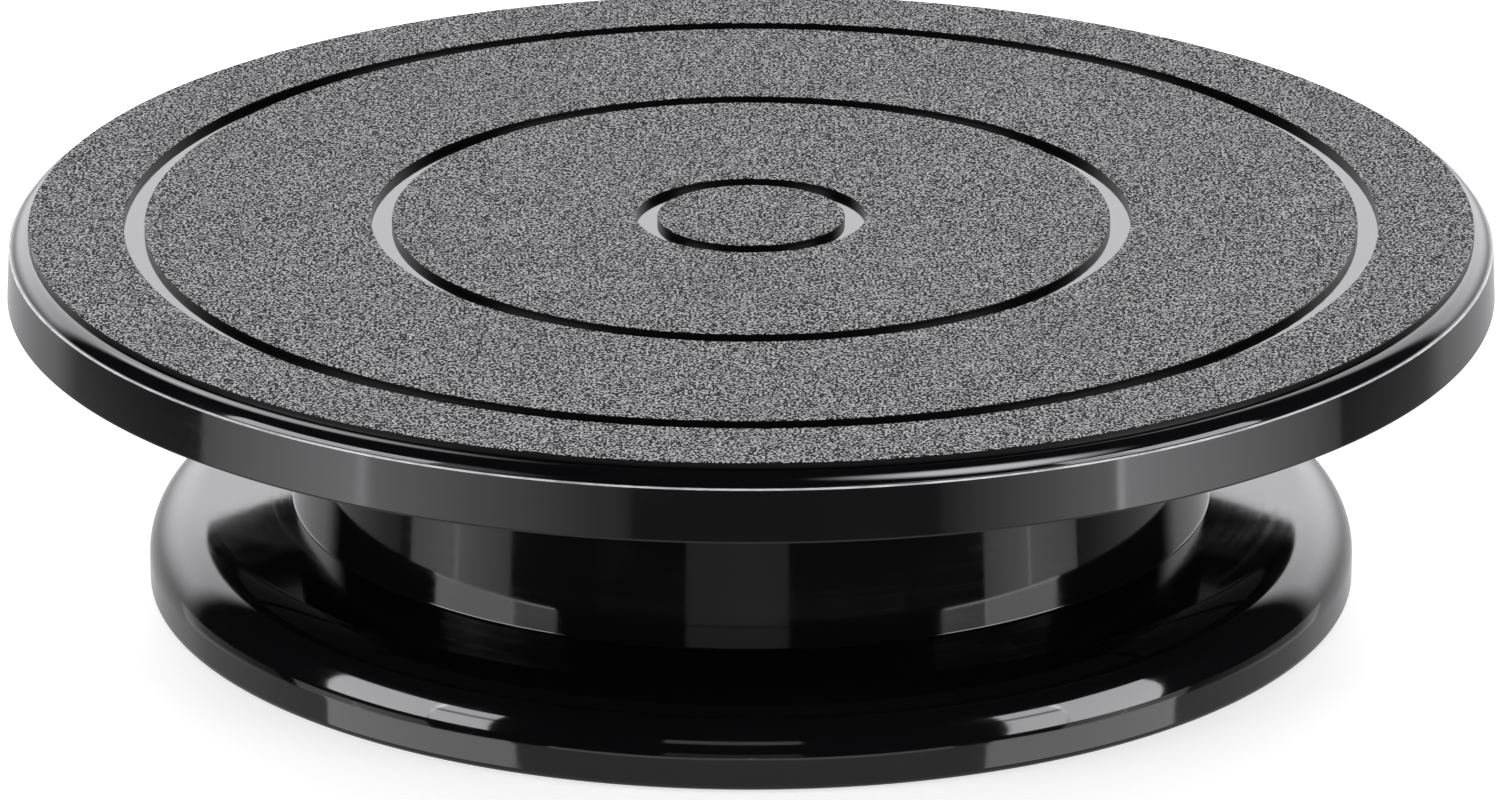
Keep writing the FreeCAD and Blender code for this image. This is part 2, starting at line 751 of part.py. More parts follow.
def make_retainers():
    """Under the tower: thrust washer, disc spring, steel washer and lock nut, from the top down."""
    thrust = new_body("thrust_washer")
    thrust_bottom = dim["tower_bottom"] - dim["thrust_washer_thickness"]
    revolve(
        thrust,
        "ring",
        rectangle(
            dim["thrust_washer_bore"],
            dim["thrust_washer_radius"],
            thrust_bottom,
            dim["tower_bottom"],
        ),
    )
    spring = new_body("disc_spring")
    seat = dim["spindle_shoulder"]
    rise = dim["spring_cone"]
    thickness = dim["spring_thickness"]
    revolve(
        spring,
        "cone",
        [
            (dim["spring_bore_radius"], seat + rise),
            (dim["spring_radius"], seat),
            (dim["spring_radius"], seat + thickness),
            (dim["spring_bore_radius"], seat + rise + thickness),
        ],
    )
    washer = new_body("steel_washer")
    washer_bottom = seat - dim["steel_washer_thickness"]
    revolve(
        washer,
        "ring",
        rectangle(dim["thread_radius"], dim["steel_washer_radius"], washer_bottom, seat),
    )
    make_lock_nut(washer_bottom)


def make_lock_nut(top):
    """A hexagon nut with chamfered corners, on the spindle's thread."""
    nut = new_body("lock_nut")
    bottom = top - dim["nut_height"]
    half_side = dim["nut_half_flats"] * math.tan(math.radians(30))
    corner = half_side * 2
    flats = dim["nut_half_flats"]
    hexagon = nut.newObject("PartDesign::Pad", "hexagon")
    hexagon.Profile = outline(
        nut,
        "hexagon_outline",
        [
            (corner, 0),
            (half_side, flats),
            (size(0) - half_side, flats),
            (size(0) - corner, 0),
            (size(0) - half_side, size(0) - flats),
            (half_side, size(0) - flats),
        ],
        role="XY_Plane",
        up=bottom,
    )
    bind(hexagon, "Length", dim["nut_height"])
    nut.Tip = hexagon
    groove(
        nut,
        "thread_hole",
        rectangle(size(0), dim["thread_radius"], bottom - BURIED, top + BURIED),
    )
    chamfer = dim["nut_chamfer"]
    groove(
        nut,
        "corner_chamfer",
        [
            (corner - chamfer, bottom),
            (corner + BURIED, bottom),
            (corner + BURIED, bottom + (chamfer + BURIED) * math.tan(math.radians(30))),
        ],
    )


make_platter()
for pad_name, pad_inner, pad_outer in pad_edges():
    make_pad(pad_name, pad_inner, pad_outer)
make_base_shell()
for foot_number in range(1, int(dim["base_rib_count"].value) + 1):
    make_rubber_foot(foot_number)
make_hub_cover()
make_race("lower_race", BASE_TOP, LOWER_RACE_TOP, 1)
make_race("upper_race", UPPER_RACE_TOP, UPPER_RACE_BOTTOM, -1)
make_ball_cage()
make_race_balls()
make_spindle()
make_spindle_screws()
make_spindle_bush()
make_retainers()
document.recompute()

for item in document.Objects:
    if "Invalid" in item.State or "Error" in item.State:
        raise RuntimeError(f"{item.Label} did not recompute: {item.State}")
for sub_part in sub_parts:
    if sub_part.Shape.isNull() or not sub_part.Shape.isValid():
        raise RuntimeError(f"{sub_part.Label} has no valid shape")

os.makedirs("parts", exist_ok=True)
for sub_part in sub_parts:
    sub_part.Shape.exportStep(os.path.join("parts", f"{sub_part.Label}.step"))
    box = sub_part.Shape.BoundBox
    print(
        f"{sub_part.Label:18} solids {len(sub_part.Shape.Solids):2}"
        f"  volume {sub_part.Shape.Volume:10.1f}"
        f"  z {box.ZMin:6.2f} to {box.ZMax:6.2f}"
    )
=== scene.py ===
import math

import bmesh
import bpy
from mathutils import Matrix, Vector


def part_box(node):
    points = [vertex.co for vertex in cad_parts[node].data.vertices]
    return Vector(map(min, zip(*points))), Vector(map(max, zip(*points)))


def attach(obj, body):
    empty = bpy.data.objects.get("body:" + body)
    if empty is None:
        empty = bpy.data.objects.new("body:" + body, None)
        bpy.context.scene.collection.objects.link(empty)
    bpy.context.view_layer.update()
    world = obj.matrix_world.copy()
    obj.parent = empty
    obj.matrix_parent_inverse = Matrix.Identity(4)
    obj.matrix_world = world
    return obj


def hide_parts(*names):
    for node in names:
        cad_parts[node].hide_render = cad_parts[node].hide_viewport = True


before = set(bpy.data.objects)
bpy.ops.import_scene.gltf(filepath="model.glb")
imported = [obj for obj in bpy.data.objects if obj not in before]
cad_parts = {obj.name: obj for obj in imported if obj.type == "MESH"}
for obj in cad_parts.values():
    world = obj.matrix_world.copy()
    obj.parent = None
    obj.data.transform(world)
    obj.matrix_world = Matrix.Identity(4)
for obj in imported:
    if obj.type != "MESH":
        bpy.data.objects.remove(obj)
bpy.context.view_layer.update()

# Sculpting turntable, in metres, in the CAD model's frame: +Z up along the spin axis, origin on the
# plane that the feet rest on. The two gloss mouldings and the rubber feet are modelled here with finer
# surfaces than the CAD nodes that they replace. Every other piece is the CAD node with a material.

MM = 0.001
SCENE = bpy.context.scene
AROUND = 384  # steps around a lathed piece
ON_AXIS = 1e-7  # a point of an outline nearer than this is on the spin axis
LIGHT_COLOR = (0.98, 0.975, 1.0)
LIGHTS_AIM = Vector((0, 0, 40 * MM))
FEET = [f"rubber_foot_{number}" for number in range(1, 7)]
PADS = ("centre_pad", "inner_ring_pad", "middle_ring_pad", "outer_ring_pad")


def top(name):
    """A node's highest level."""
    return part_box(name)[1].z


def bottom(name):
    """A node's lowest level."""
    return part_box(name)[0].z


def reach(name):
    """A round node's outside radius."""
    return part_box(name)[1].x


# Levels and radii that the frame gives.
PAD_TOP = top("outer_ring_pad")
PAD_BOTTOM = bottom("outer_ring_pad")
RIM_BOTTOM = bottom("platter")
RACE_TOP = top("upper_race")
SHELL_BOTTOM = bottom("base_shell")
BASE_TOP = bottom("lower_race")

# The platter moulding.
SMOOTH_FACE = PAD_TOP - 1.2 * MM
DECK_UNDERSIDE = SMOOTH_FACE - 3.2 * MM
LEDGE = PAD_TOP - 3.65 * MM
SHOULDER_ROUND = 3.2 * MM
RIM_TAPER = 0.5 * MM
SKIRT_WALL = 2.8 * MM
RING_WIDTH = 3.9 * MM
BOSS_RADIUS = 20 * MM
FLANGE_TOP = DECK_UNDERSIDE - 3.1 * MM
RACE_INNER, RACE_OUTER = 56.5 * MM, 67.5 * MM
LIP = 1.5 * MM
LIP_HEIGHT = 0.8 * MM
DUST_RING, DUST_WALL = 87.6 * MM, 1.8 * MM
PLATTER_RIBS = 12
BURIED = 0.5 * MM  # how far a rib runs into the wall that it grows from

# The base shell.
FOOT_RADIUS = reach("base_shell")
SHELL_WALL = 2.8 * MM
FOOT_TOP = SHELL_BOTTOM + 17 * MM
FOOT_SHOULDER = 11 * MM
NECK_FOOT, NECK_TOP = 86.6 * MM, 84 * MM
DECK_INSIDE = BASE_TOP - SHELL_WALL
BUSH_RADIUS = 8 * MM
TOWER_RADIUS, TOWER_BOTTOM = 11.5 * MM, 40 * MM
WELL_INSIDE, WELL_OUTSIDE, WELL_BOTTOM = 20.5 * MM, 22.7 * MM, 5 * MM
COVER_STEP, COVER_THICKNESS = 0.8 * MM, 1.8 * MM
BASE_RIBS = 6
FOOT_CIRCLE = 98 * MM
FOOT_BOSS, FOOT_BOSS_TOP = 9.5 * MM, 15.5 * MM
RUBBER_RADIUS, RUBBER_TOP = 7.5 * MM, 2.6 * MM


# ---------------------------------------------------------------- camera


def make_camera():
    """A long lens about 2.1 m in front of the platter, 19 degrees above it."""
    data = bpy.data.cameras.new("camera")
    data.sensor_width = 36.0
    data.lens = 273.6
    data.clip_end = 50
    camera = bpy.data.objects.new("camera", data)
    aside = -0.2 * MM
    distance = 2.145
    above_platter = math.radians(18.83)
    pitch_down = math.radians(19.76)
    in_front = -distance * math.cos(above_platter)
    camera.location = (aside, in_front, PAD_TOP + distance * math.sin(above_platter))
    camera.rotation_euler = (math.pi / 2 - pitch_down, 0, 0)
    SCENE.collection.objects.link(camera)
    SCENE.camera = camera


# ---------------------------------------------------------------- studio


def softbox(name, azimuth, elevation, width, height, radiance, only=None, fade=None, soft=False):
    """A rectangular light facing the object. Azimuth 0 is the camera's side and 90 its right.

    Width and height are the angles it covers, in degrees; radiance is its brightness as it is seen.
    It can light one piece only, fade from its low-azimuth side to its high-azimuth side, or be soft
    all round.
    """
    distance = 2.5
    turn, lift = math.radians(azimuth), math.radians(elevation)
    towards = Vector(
        (math.sin(turn) * math.cos(lift), -math.cos(turn) * math.cos(lift), math.sin(lift))
    )
    data = bpy.data.lights.new(name, "AREA")
    data.shape = "RECTANGLE"
    data.size = 2 * distance * math.tan(math.radians(width / 2))
    data.size_y = 2 * distance * math.tan(math.radians(height / 2))
    data.energy = radiance * math.pi * data.size * data.size_y
    data.color = LIGHT_COLOR
    light = bpy.data.objects.new(name, data)
    light.location = towards * distance + LIGHTS_AIM
    light.rotation_euler = towards.to_track_quat("Z", "Y").to_euler()
    light.visible_camera = False
    SCENE.collection.objects.link(light)
    if only is not None:
        receivers = bpy.data.collections.new(f"{name}_receivers")
        receivers.objects.link(only)
        light.light_linking.receiver_collection = receivers
    if fade is not None or soft:
        data.use_nodes = True
        tree = data.node_tree
        across = node(tree, "ShaderNodeNewGeometry").outputs["Parametric"]
        level = soft_level(tree, across) if soft else fade_level(tree, across, *fade)
        tree.links.new(level, tree.nodes["Emission"].inputs["Strength"])
    return light


def fade_level(tree, across, at_left, at_right):
    """A level that changes evenly from one side of a light to the other."""
    split = node(tree, "ShaderNodeSeparateXYZ")
    tree.links.new(across, split.inputs[0])
    level = node(tree, "ShaderNodeMapRange")
    level.inputs["To Min"].default_value = at_left
    level.inputs["To Max"].default_value = at_right
    tree.links.new(split.outputs["X"], level.inputs["Value"])
    return level.outputs[0]


def soft_level(tree, across):
    """A level that falls smoothly from the middle of a light to nothing at its sides."""
    off_centre = node(tree, "ShaderNodeVectorMath", operation="DISTANCE")
    tree.links.new(across, off_centre.inputs[0])
    off_centre.inputs[1].default_value = (0.5, 0.5, 0)
    return ramp_of(tree, off_centre.outputs["Value"], 0.12, 0.5, 1.0, 0.0)


def floor_paint():
    """White that glows a little, so that shadows on it stay faint."""
    material = plain_material("floor_paint", (0.86, 0.86, 0.86), 0.6)
    shader = material.node_tree.nodes["Principled BSDF"]
    shader.inputs["Emission Color"].default_value = (1, 1, 1, 1)
    shader.inputs["Emission Strength"].default_value = 0.65
    return material


def make_floor():
    """A plain pale floor that the object stands on. The gloss plastic doesn't mirror it."""
    mesh = bpy.data.meshes.new("floor")
    half = 6.0
    mesh.from_pydata(
        [(-half, -half, 0), (half, -half, 0), (half, half, 0), (-half, half, 0)], [], [(0, 1, 2, 3)]
    )
    floor = bpy.data.objects.new("floor", mesh)
    SCENE.collection.objects.link(floor)
    floor.data.materials.append(floor_paint())
    floor.visible_glossy = False
    floor.visible_shadow = False


def ramp_of(tree, source, low, high, at_low, at_high):
    """The value at_low where source is low, at_high where it is high, and a smooth way between."""
    made = node(tree, "ShaderNodeMapRange", interpolation_type="SMOOTHSTEP")
    made.inputs["From Min"].default_value = low
    made.inputs["From Max"].default_value = high
    made.inputs["To Min"].default_value = at_low
    made.inputs["To Max"].default_value = at_high
    tree.links.new(source, made.inputs["Value"])
    return made.outputs[0]


def make_surroundings():
    """The room's light: bright behind the object, and in front dark but for a glow from below."""
    world = bpy.data.worlds.new("studio")
    world.use_nodes = True
    tree = world.node_tree
    background = tree.nodes["Background"]
    background.inputs["Color"].default_value = (*LIGHT_COLOR, 1)
    direction = node(tree, "ShaderNodeTexCoord")
    split = node(tree, "ShaderNodeSeparateXYZ")
    tree.links.new(direction.outputs["Generated"], split.inputs[0])
    behind = ramp_of(tree, split.outputs["Y"], 0.54, 0.68, 0.0, 1.0)
    above = ramp_of(tree, split.outputs["Z"], -0.15, 0.30, 0.68, 2.85)
    below_zenith = ramp_of(tree, split.outputs["Z"], 0.62, 0.80, 1.0, 0.05)
    low_glow = ramp_of(tree, split.outputs["Z"], -0.33, -0.26, 0.55, 0.02)
    back = calculate(tree, "MULTIPLY", calculate(tree, "MULTIPLY", behind, above), below_zenith)
    front = calculate(tree, "MULTIPLY", calculate(tree, "SUBTRACT", 1.0, behind), low_glow)
    tree.links.new(calculate(tree, "ADD", back, front), background.inputs["Strength"])
    SCENE.world = world
    SCENE.view_settings.view_transform = "Standard"


def side_lights():
    """A large bright box on each side, in four parts, for the highlights on the foot and platter.

    The neck mirrors the foot's top, and the top mirrors the dim part, so the neck stays darker there.
    """
    bright, dim = 8.3, 3.0
    softbox("left_softbox", -71.5, 10, 23, 28, bright)
    softbox("left_inner_low_softbox", -54, 4.3, 12, 16.6, bright)
    softbox("left_inner_middle_softbox", -54, 14.3, 12, 3.4, dim)
    softbox("left_inner_high_softbox", -54, 20, 12, 8, bright)
    softbox("right_softbox", 69.5, 7, 21, 34, bright)
    softbox("right_inner_low_softbox", 53, 1.3, 12, 22.6, bright)
    softbox("right_inner_middle_softbox", 53, 14.3, 12, 3.4, dim)
    softbox("right_inner_high_softbox", 53, 20, 12, 8, bright)


def shoulder_lights(platter):
    """Soft lights on three sides, for the platter's rounded shoulder and smooth rings."""
    softbox("high_right_softbox", 42, 47, 42, 50, 11.5, platter, soft=True)
    softbox("high_left_back_box", -140, 50, 30, 40, 5.0, platter, soft=True)
    softbox("left_glow", -45, 17, 34, 34, 1.3, platter, soft=True)


def base_lights(base):
    """Two boxes below the horizon for the foot's wall, and dimmer ones for the neck and the foot's edge.

    The mirrored strip reaches the neck's lowest part by way of the foot's top.
    """
    on_left, on_right = 1.42, 1.45
    softbox("left_low_box", -65, -22.5, 39, 10, 2.2, base)
    softbox("right_low_box", 65, -22.5, 39, 10, 2.2, base)
    softbox("neck_far_left_box", -114, -15, 34, 10, 0.42, base, (1.0, 0.25))
    softbox("neck_left_outer_box", -84.5, -13.5, 15, 8, on_left, base, (0.6, 1.0))
    softbox("neck_left_inner_box", -69, -13.5, 16, 8, on_left, base, (1.0, 0.55))
    softbox("neck_right_inner_box", 65.5, -13.5, 13, 8, on_right, base, (0.6, 1.0))
    softbox("neck_right_outer_box", 79.5, -13.5, 15, 8, on_right, base, (1.0, 0.6))
    softbox("neck_far_right_box", 110, -15, 42, 10, 0.5, base, (0.15, 1.0))
    softbox("neck_strip", -3.3, -12, 24, 6, 0.30, base)
    softbox("neck_strip_mirrored", -3.3, 12, 24, 6, 1.0, base)
    softbox("foot_edge_left_strip", -18.5, -17.4, 36, 3, 1.2, base)
    softbox("foot_edge_right_strip", 18.5, -17.4, 36, 3, 1.2, base)


def rim_lights(platter):
    """Boxes below the horizon for the rim's wall, dim in front and brighter to the sides."""
    softbox("rim_left_outer_fill", -74, -15, 30, 9, 3.2, platter, (0.3, 1.0))
    softbox("rim_left_inner_fill", -38.5, -14, 41, 9, 2.4, platter, (1.0, 0.1))
    softbox("rim_front_fill", 3, -13, 48, 8, 0.10, platter)
    softbox("rim_right_inner_fill", 42, -14, 28, 9, 2.2, platter, (0.1, 1.0))
    softbox("rim_right_outer_fill", 77, -15, 42, 9, 3.8, platter, (1.0, 0.1))


def make_studio(platter, base):
    """Every light. The overhead one brightens the matt pads and isn't mirrored."""
    side_lights()
    shoulder_lights(platter)
    base_lights(base)
    rim_lights(platter)
    overhead = softbox("overhead_fill", 0, 88, 60, 60, 0.6)
    overhead.visible_glossy = False


# ---------------------------------------------------------------- shader helpers


def node(tree, kind, **values):
    """A new node with some of its settings or inputs given."""
    made = tree.nodes.new(kind)
    for key, value in values.items():
        if hasattr(made, key):
            setattr(made, key, value)
        else:
            made.inputs[key.replace("_", " ")].default_value = value
    return made


def calculate(tree, operation, *values):
    """A maths node on outputs or plain numbers."""
    made = node(tree, "ShaderNodeMath", operation=operation)
    for socket, value in zip(made.inputs, values):
        if isinstance(value, (int, float)):
            socket.default_value = value
        else:
            tree.links.new(value, socket)
    return made.outputs[0]


def plain_material(name, color, roughness, metallic=0.0):
    """A material with one Principled shader, for the other makers to build on."""
    material = bpy.data.materials.new(name)
    material.use_nodes = True
    shader = material.node_tree.nodes["Principled BSDF"]
    shader.inputs["Base Color"].default_value = (*color, 1)
    shader.inputs["Roughness"].default_value = roughness
    shader.inputs["Metallic"].default_value = metallic
    return material


def parts_of(material):
    """The tree, the shader and the object coordinates of a material."""
    tree = material.node_tree
    place = node(tree, "ShaderNodeTexCoord")
    return tree, tree.nodes["Principled BSDF"], place.outputs["Object"]


def noise(tree, place, scale, detail=2.0, roughness=0.5):
    """Noise of a given scale, in features per metre."""
    made = node(tree, "ShaderNodeTexNoise", Scale=scale, Detail=detail, Roughness=roughness)
    tree.links.new(place, made.inputs["Vector"])
    return made.outputs["Fac"]


def two_tone(tree, source, low, low_color, high, high_color):
    """A colour that goes from one to another as the source goes from low to high."""
    ramp = node(tree, "ShaderNodeValToRGB")
    for element, position, color in zip(ramp.color_ramp.elements, (low, high), (low_color, high_color)):
        element.position = position
        element.color = (*color, 1)
    tree.links.new(source, ramp.inputs["Fac"])
    return ramp.outputs["Color"]


def mix_colors(tree, amount, first, second):
    """The first colour where amount is 0 and the second where it is 1."""
    mix = node(tree, "ShaderNodeMix", data_type="RGBA")
    tree.links.new(amount, mix.inputs[0])
    for socket, color in ((mix.inputs[6], first), (mix.inputs[7], second)):
        if isinstance(color, tuple):
            socket.default_value = (*color, 1)
        else:
            tree.links.new(color, socket)
    return mix.outputs[2]


def bump(tree, shader, height, distance, strength):
    """Raises the surface by a height map that runs from 0 to 1."""
    made = node(tree, "ShaderNodeBump", Strength=strength, Distance=distance)
    tree.links.new(height, made.inputs["Height"])
    tree.links.new(made.outputs["Normal"], shader.inputs["Normal"])


def cylindrical(tree, place):
    """The distance from the spin axis, the angle about it and the height."""
    split = node(tree, "ShaderNodeSeparateXYZ")
    tree.links.new(place, split.inputs[0])
    flat = node(tree, "ShaderNodeCombineXYZ")
    tree.links.new(split.outputs["X"], flat.inputs["X"])
    tree.links.new(split.outputs["Y"], flat.inputs["Y"])
    length = node(tree, "ShaderNodeVectorMath", operation="LENGTH")
    tree.links.new(flat.outputs[0], length.inputs[0])
    angle = calculate(tree, "ARCTAN2", split.outputs["Y"], split.outputs["X"])
    return length.outputs["Value"], angle, split.outputs["Z"]


def ring_grain(tree, place, across, along):
    """Fine lines that run around the spin axis, as a lathe or a brush leaves them."""
    radius, angle, height = cylindrical(tree, place)
    join = node(tree, "ShaderNodeCombineXYZ")
    tree.links.new(calculate(tree, "MULTIPLY", radius, across), join.inputs["X"])
    tree.links.new(calculate(tree, "MULTIPLY", angle, along), join.inputs["Y"])
    tree.links.new(calculate(tree, "MULTIPLY", height, across), join.inputs["Z"])
    return noise(tree, join.outputs[0], 1.0, 3.0)


# ---------------------------------------------------------------- materials


def gloss_plastic(name, edge=None):
    """Near-black injection-moulded plastic: glossy, a little uneven, and pale along an edge, as rubbed wear
    and a painted highlight line.

    The edge is the radius and height of the pale circle, rubbed wear with a painted highlight, and how far
    from it the plastic is pale.
    """
    material = plain_material(name, (0.0012, 0.0012, 0.0015), 0.08)
    tree, shader, place = parts_of(material)
    haze = ramp_of(tree, noise(tree, place, 45.0, 6.0, 0.6), 0.35, 0.75, 0.05, 0.10)
    wipes = ramp_of(tree, ring_grain(tree, place, 900.0, 1.5), 0.45, 0.8, 0.0, 0.03)
    flow = noise(tree, place, 7.0, 2.0)
    rough = calculate(tree, "ADD", haze, wipes)
    color = two_tone(tree, flow, 0.3, (0.0008, 0.0008, 0.0010), 0.7, (0.0017, 0.0017, 0.0020))
    if edge is not None:
        # Pale rough line along the edge: partly rubbed wear, partly a painted highlight line in place of
        # the edge's gleam.
        wear_and_highlight = wear_and_highlight_line(tree, place, *edge)
        color = mix_colors(tree, wear_and_highlight, color, (0.34, 0.34, 0.3468))
        rough = calculate(tree, "ADD", rough, calculate(tree, "MULTIPLY", wear_and_highlight, 0.3))
    tree.links.new(color, shader.inputs["Base Color"])
    tree.links.new(rough, shader.inputs["Roughness"])
    bump(tree, shader, noise(tree, place, 130.0, 2.0), 0.02 * MM, 0.25)
    return material


def wear_and_highlight_line(tree, place, edge_radius, edge_height, width):
    """Up to 1 along a circle about the spin axis, patchy, and 0 further off than the width: rubbed wear and
    a painted highlight.
    """
    radius, _, height = cylindrical(tree, place)
    aside = calculate(tree, "SUBTRACT", radius, edge_radius)
    above = calculate(tree, "SUBTRACT", height, edge_height)
    aside_squared = calculate(tree, "MULTIPLY", aside, aside)
    above_squared = calculate(tree, "MULTIPLY", above, above)
    distance = calculate(tree, "SQRT", calculate(tree, "ADD", aside_squared, above_squared))
    near = ramp_of(tree, distance, width * 0.6, width, 1.0, 0.0)
    patchy = ramp_of(tree, noise(tree, place, 160.0, 3.0), 0.30, 0.62, 0.55, 1.0)
    return calculate(tree, "MULTIPLY", near, patchy)


def gritty_pad():
    """Dark grey anti-slip sheet with a hard gritty grain on top and smooth black cut edges."""
    material = plain_material("gritty_pad", (0.1, 0.1, 0.105), 0.6)
    tree, shader, place = parts_of(material)
    grain = noise(tree, place, 2100.0, 0.6)
    clumps = noise(tree, place, 520.0, 2.0)
    patches = noise(tree, place, 30.0, 3.0)
    uneven = calculate(tree, "MULTIPLY", calculate(tree, "SUBTRACT", clumps, 0.5), 0.12)
    speckle = calculate(tree, "ADD", grain, uneven)
    tone = two_tone(tree, speckle, 0.52, (0.001, 0.001, 0.0012), 0.55, (0.60, 0.60, 0.605))
    worn = mix_colors(tree, ramp_of(tree, patches, 0.4, 0.8, 0.0, 0.12), tone, (0.10, 0.10, 0.104))
    _, _, height = cylindrical(tree, place)
    on_top = ramp_of(tree, height, PAD_TOP - 0.14 * MM, PAD_TOP - 0.04 * MM, 0.0, 1.0)
    tree.links.new(mix_colors(tree, on_top, (0.004, 0.004, 0.0045), worn), shader.inputs["Base Color"])
    shader.inputs["Specular IOR Level"].default_value = 0.2
    tree.links.new(ramp_of(tree, on_top, 0.0, 1.0, 0.3, 0.8), shader.inputs["Roughness"])
    bump(tree, shader, calculate(tree, "MULTIPLY", speckle, on_top), 0.3 * MM, 0.8)
    return material


def turned_metal(name, color, roughness, across=2500.0, contrast=0.12, tint=None):
    """Metal with fine rings of tool or brush marks, and a second tone in soft patches."""
    material = plain_material(name, color, roughness, 1.0)
    tree, shader, place = parts_of(material)
    lines = ring_grain(tree, place, across, 2.0)
    patches = noise(tree, place, 90.0, 4.0)
    darker = tuple(part * (1 - contrast) for part in color)
    base = two_tone(tree, lines, 0.3, darker, 0.7, color)
    second = tint or tuple(part * 0.9 for part in color)
    tinted = mix_colors(tree, ramp_of(tree, patches, 0.45, 0.75, 0.0, 0.6), base, second)
    tree.links.new(tinted, shader.inputs["Base Color"])
    brushed = ramp_of(tree, lines, 0.3, 0.75, roughness * 0.75, roughness * 1.35)
    tree.links.new(brushed, shader.inputs["Roughness"])
    bump(tree, shader, lines, 0.01 * MM, 0.5)
    return material


def ball_steel():
    """Mirror-polished ball steel with faint rolling scuffs."""
    material = plain_material("ball_steel", (0.72, 0.72, 0.74), 0.07, 1.0)
    tree, shader, place = parts_of(material)
    scuffs = noise(tree, place, 1800.0, 5.0, 0.7)
    tree.links.new(ramp_of(tree, scuffs, 0.5, 0.8, 0.05, 0.22), shader.inputs["Roughness"])
    tone = two_tone(tree, scuffs, 0.45, (0.74, 0.74, 0.76), 0.9, (0.55, 0.54, 0.53))
    tree.links.new(tone, shader.inputs["Base Color"])
    bump(tree, shader, scuffs, 0.004 * MM, 0.4)
    return material


def pale_plastic(name, color, warm, roughness=0.38):
    """Natural nylon or acetal: milky, slightly yellow in places, with a fine moulded grain."""
    material = plain_material(name, color, roughness)
    tree, shader, place = parts_of(material)
    shader.inputs["Subsurface Weight"].default_value = 0.15
    shader.inputs["Subsurface Radius"].default_value = (2.0 * MM, 2.0 * MM, 1.5 * MM)
    clouds = noise(tree, place, 140.0, 4.0)
    grain = noise(tree, place, 2600.0, 2.0)
    tree.links.new(two_tone(tree, clouds, 0.35, color, 0.75, warm), shader.inputs["Base Color"])
    uneven = ramp_of(tree, grain, 0.3, 0.7, roughness * 0.85, roughness * 1.25)
    tree.links.new(uneven, shader.inputs["Roughness"])
    bump(tree, shader, grain, 0.03 * MM, 0.35)
    return material


def satin_plastic():
    """Black moulded plastic with a spark-eroded grain, rubbed shinier in patches."""
    material = plain_material("satin_plastic", (0.02, 0.02, 0.021), 0.45)
    tree, shader, place = parts_of(material)
    grain = noise(tree, place, 1900.0, 3.0)
    patches = noise(tree, place, 70.0, 3.0)
    tone = two_tone(tree, grain, 0.35, (0.012, 0.012, 0.013), 0.7, (0.032, 0.032, 0.034))
    tree.links.new(tone, shader.inputs["Base Color"])
    tree.links.new(ramp_of(tree, patches, 0.4, 0.7, 0.5, 0.34), shader.inputs["Roughness"])
    bump(tree, shader, grain, 0.05 * MM, 0.5)
    return material


def foot_rubber():
    """Matte black rubber with a dusty bloom and a fine pitted skin."""
    material = plain_material("foot_rubber", (0.02, 0.02, 0.02), 0.8)
    tree, shader, place = parts_of(material)
    bloom = noise(tree, place, 260.0, 5.0, 0.65)
    pits = noise(tree, place, 2200.0, 2.0)
    tone = two_tone(tree, bloom, 0.4, (0.012, 0.012, 0.012), 0.8, (0.055, 0.053, 0.05))
    tree.links.new(tone, shader.inputs["Base Color"])
    tree.links.new(ramp_of(tree, bloom, 0.35, 0.75, 0.68, 0.92), shader.inputs["Roughness"])
    bump(tree, shader, pits, 0.06 * MM, 0.6)
    return material


def paint(material, *names):
    """Gives CAD nodes a material."""
    for name in names:
        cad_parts[name].data.materials[0] = material


# ---------------------------------------------------------------- shapes


def rounded(corners, closed):
    """The points of an outline. A corner is (radius, height) or (radius, height, round)."""
    points = []
    for index, corner in enumerate(corners):
        here = Vector(corner[:2])
        if len(corner) == 2 or (not closed and index in (0, len(corners) - 1)):
            points.append(here)
            continue
        before = (Vector(corners[index - 1][:2]) - here).normalized()
        after = (Vector(corners[(index + 1) % len(corners)][:2]) - here).normalized()
        opening = before.angle(after)
        turn = math.pi - opening
        to_centre = (before + after).normalized() * (corner[2] / math.sin(opening / 2))
        centre = here + to_centre
        first = here + before * (corner[2] / math.tan(opening / 2)) - centre
        side = 1 if before.x * after.y - before.y * after.x < 0 else -1
        steps = max(3, round(math.degrees(turn) / 5))
        for step in range(steps + 1):
            angle = side * turn * step / steps
            cos, sin = math.cos(angle), math.sin(angle)
            arm = Vector((first.x * cos - first.y * sin, first.x * sin + first.y * cos))
            points.append(centre + arm)
    return points


def lathe(name, corners, closed=False, around=AROUND):
    """A solid turned about the vertical axis: an open outline starts and ends on the axis."""
    build = bmesh.new()
    rings = []
    for point in rounded(corners, closed):
        if point.x < ON_AXIS:
            rings.append([build.verts.new((0, 0, point.y))])
            continue
        ring = []
        for step in range(around):
            angle = math.tau * step / around
            ring.append(build.verts.new((point.x * math.cos(angle), point.x * math.sin(angle), point.y)))
        rings.append(ring)
    pairs = list(zip(rings, rings[1:])) + ([(rings[-1], rings[0])] if closed else [])
    for lower, upper in pairs:
        for step in range(around):
            following = (step + 1) % around
            if len(lower) == 1:
                build.faces.new((lower[0], upper[following], upper[step]))
            elif len(upper) == 1:
                build.faces.new((lower[step], lower[following], upper[0]))
            else:
                build.faces.new((lower[step], lower[following], upper[following], upper[step]))
    bmesh.ops.recalc_face_normals(build, faces=build.faces)
    return finished_mesh(name, build)


def finished_mesh(name, build):
    """Turns a bmesh into an object in the scene."""
    mesh = bpy.data.meshes.new(name)
    build.to_mesh(mesh)
    build.free()
    piece = bpy.data.objects.new(name, mesh)
    SCENE.collection.objects.link(piece)
    return piece


